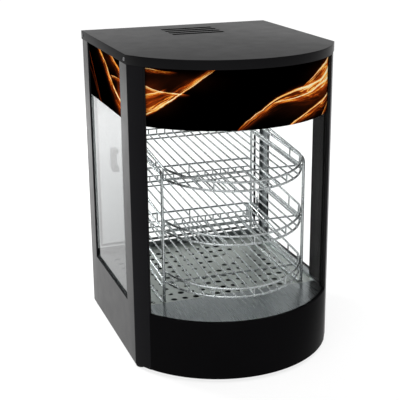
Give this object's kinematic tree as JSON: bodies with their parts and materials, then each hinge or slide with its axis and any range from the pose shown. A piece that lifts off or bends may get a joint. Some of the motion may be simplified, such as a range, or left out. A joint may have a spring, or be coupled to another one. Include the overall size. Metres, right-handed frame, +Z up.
{
  "type": "hot food display case",
  "caption": "Upright heated display case with a curved front glass, glazed sides, sloping wire shelves over a perforated heated floor, and a hinged glass door at the rear.",
  "frame": {"origin": "middle of the overall footprint, on the surface the feet stand on", "axes": "+X to the right seen from the front, +Y to the rear where the door and controls are, +Z up; the curved glass faces -Y"},
  "size_m": [0.4574, 0.5458, 0.675],
  "materials": {
    "black_paint": "fine satin black powder coat",
    "stainless": "brushed stainless sheet",
    "chrome_wire": "bright chrome plated wire",
    "clear_glass": "clear toughened glass",
    "printed_film": "black film printed with abstract flames in orange",
    "rubber": "matt black rubber",
    "black_plastic": "fine textured black",
    "red_plastic": "translucent red",
    "amber_lens": "clear amber",
    "ceramic": "white glazed ceramic",
    "zinc_steel": "zinc plated steel",
    "bulb_glass": "clear glass"
  },
  "bodies": {
    "case": {"top_cover": "black_paint", "front_apron": "black_paint", "base_plate": "zinc_steel", "deck": "stainless", "well_pan": "stainless", "floor_plate": "stainless", "ceiling_panel": "stainless", "rear_lower_panel": "black_paint", "rear_header": "black_paint", "rear_sill": "stainless", "front_glass": "clear_glass", "front_print": "printed_film", "heating_element": "zinc_steel", "water_tray": "stainless", "tray_support": "stainless", "thermostat_body": "zinc_steel", "heat_switch_body": "black_plastic", "lamp_switch_body": "black_plastic", "pilot_lamp": "amber_lens", "power_inlet": "black_plastic", "terminal_block": "ceramic", "lamp_holder": "ceramic", "lamp_bulb": "bulb_glass", "catch_magnet": "black_plastic", "left_side_panel": "black_paint", "left_glass": "clear_glass", "left_window_seal": "rubber", "left_print": "printed_film", "rack_left_frame": "chrome_wire", "foot_front_left": "rubber", "foot_rear_left": "rubber", "cover_screw_front_left": "zinc_steel", "cover_screw_rear_left": "zinc_steel", "right_side_panel": "black_paint", "right_glass": "clear_glass", "right_window_seal": "rubber", "right_print": "printed_film", "rack_right_frame": "chrome_wire", "foot_front_right": "rubber", "foot_rear_right": "rubber", "cover_screw_front_right": "zinc_steel", "cover_screw_rear_right": "zinc_steel", "hinge_bracket_lower": "zinc_steel", "hinge_pin_lower": "zinc_steel", "hinge_bracket_upper": "zinc_steel", "hinge_pin_upper": "zinc_steel", "shelf_top": "chrome_wire", "shelf_middle": "chrome_wire", "shelf_bottom": "chrome_wire"},
    "door": {"door_glass": "clear_glass", "door_seal": "rubber", "door_handle": "black_plastic", "hinge_leaf_lower": "zinc_steel", "hinge_leaf_upper": "zinc_steel", "catch_plate": "zinc_steel"},
    "thermostat_knob": {"thermostat_knob": "black_plastic", "thermostat_shaft": "zinc_steel"},
    "heat_switch_rocker": {"heat_switch_rocker": "red_plastic"},
    "lamp_switch_rocker": {"lamp_switch_rocker": "black_plastic"}
  },
  "joints": [
    {"name": "door_hinge", "type": "hinge", "parent": "case", "child": "door", "pos_m": [0.2147, 0.2551, 0.368], "axis": [0, 0, -1], "range_deg": [0, 110]},
    {"name": "thermostat_turn", "type": "hinge", "parent": "case", "child": "thermostat_knob", "pos_m": [-0.07, 0.2491, 0.056], "axis": [0, -1, 0], "range_deg": [0, 270]},
    {"name": "heat_switch_rock", "type": "hinge", "parent": "case", "child": "heat_switch_rocker", "pos_m": [0.005, 0.2461, 0.056], "axis": [-1, 0, 0], "range_deg": [0, 16]},
    {"name": "lamp_switch_rock", "type": "hinge", "parent": "case", "child": "lamp_switch_rocker", "pos_m": [0.045, 0.2461, 0.056], "axis": [-1, 0, 0], "range_deg": [0, 16]}
  ]
}
